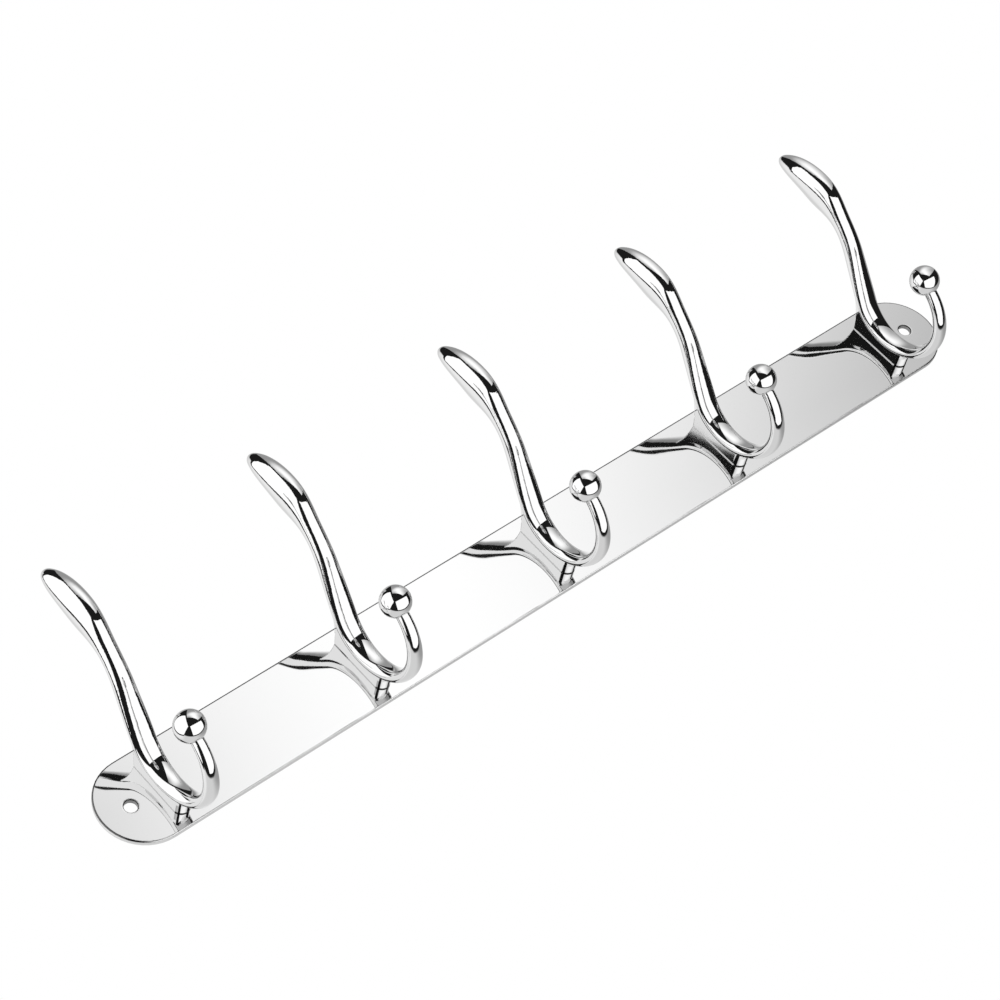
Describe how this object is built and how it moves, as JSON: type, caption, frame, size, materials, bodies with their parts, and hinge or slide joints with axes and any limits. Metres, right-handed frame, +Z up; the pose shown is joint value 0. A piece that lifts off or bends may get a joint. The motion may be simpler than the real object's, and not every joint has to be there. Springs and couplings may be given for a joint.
{
  "type": "wall hook rack",
  "caption": "Wall rack of double coat hooks: a polished strip with round ends carries a row of chrome castings, each with a long spoon-tipped arm above and a ball-ended J below.",
  "frame": {"origin": "middle of the plate's back face, where it meets the wall", "axes": "+X along the plate to the right as seen from the room, +Y into the wall, +Z up; the hooks stand out towards -Y"},
  "size_m": [0.4318, 0.0555, 0.1014],
  "materials": {
    "polished_steel": "mirror polished stainless steel",
    "chrome_casting": "bright chrome plate on a zinc casting",
    "zinc_screw": "bright zinc plated steel"
  },
  "bodies": {
    "root": {"back_plate": "polished_steel", "hook_1": "chrome_casting", "hook_1_upper_screw": "zinc_screw", "hook_1_lower_screw": "zinc_screw", "hook_2": "chrome_casting", "hook_2_upper_screw": "zinc_screw", "hook_2_lower_screw": "zinc_screw", "hook_3": "chrome_casting", "hook_3_upper_screw": "zinc_screw", "hook_3_lower_screw": "zinc_screw", "hook_4": "chrome_casting", "hook_4_upper_screw": "zinc_screw", "hook_4_lower_screw": "zinc_screw", "hook_5": "chrome_casting", "hook_5_upper_screw": "zinc_screw", "hook_5_lower_screw": "zinc_screw"}
  },
  "joints": []
}
